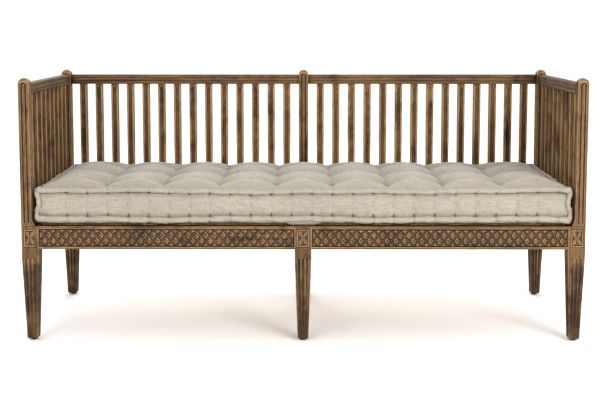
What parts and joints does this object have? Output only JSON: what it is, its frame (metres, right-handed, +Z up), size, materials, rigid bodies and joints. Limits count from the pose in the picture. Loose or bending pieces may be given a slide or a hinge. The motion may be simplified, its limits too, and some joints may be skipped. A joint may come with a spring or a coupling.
{
  "type": "daybed",
  "caption": "Wooden daybed with tapered fluted legs, carved seat rails, slatted back and sides with reeded top rails, and a thick tufted mattress that lifts out.",
  "frame": {"origin": "on the floor under the middle of the daybed", "axes": "+X along its length to the right as seen from the front, +Y from the front to the slatted back, +Z up"},
  "size_m": [2, 0.718, 0.942],
  "materials": {
    "oak": "weathered, dark patina in the grooves",
    "plain_wood": "unfinished",
    "linen": "woven, matte",
    "glide": "matte"
  },
  "bodies": {
    "frame": {"front_left_post": "oak", "back_left_post": "oak", "front_right_post": "oak", "back_right_post": "oak", "front_left_glide": "glide", "back_left_glide": "glide", "front_center_glide": "glide", "back_center_glide": "glide", "front_right_glide": "glide", "back_right_glide": "glide", "front_center_leg": "oak", "back_center_post": "oak", "front_left_rail": "oak", "back_left_rail": "oak", "back_left_top_rail": "oak", "front_right_rail": "oak", "back_right_rail": "oak", "back_right_top_rail": "oak", "back_slat_01": "oak", "back_slat_02": "oak", "back_slat_03": "oak", "back_slat_04": "oak", "back_slat_05": "oak", "back_slat_06": "oak", "back_slat_07": "oak", "back_slat_08": "oak", "back_slat_09": "oak", "back_slat_10": "oak", "back_slat_11": "oak", "back_slat_12": "oak", "back_slat_13": "oak", "back_slat_14": "oak", "back_slat_15": "oak", "back_slat_16": "oak", "back_slat_17": "oak", "back_slat_18": "oak", "back_slat_19": "oak", "back_slat_20": "oak", "back_slat_21": "oak", "back_slat_22": "oak", "back_slat_23": "oak", "back_slat_24": "oak", "back_slat_25": "oak", "back_slat_26": "oak", "back_slat_27": "oak", "back_slat_28": "oak", "left_side_rail": "oak", "left_top_rail": "oak", "left_side_slats": "oak", "right_side_rail": "oak", "right_top_rail": "oak", "right_side_slats": "oak", "front_right_cleat": "plain_wood", "front_left_cleat": "plain_wood", "back_left_cleat": "plain_wood", "back_right_cleat": "plain_wood", "center_cross_rail": "plain_wood", "right_slatted_base": "plain_wood", "left_slatted_base": "plain_wood"},
    "mattress": {"mattress": "linen"}
  },
  "joints": [
    {"name": "mattress_lift", "type": "slide", "parent": "frame", "child": "mattress", "axis": [0, 0, 1], "range_m": [0, 0.56]}
  ]
}
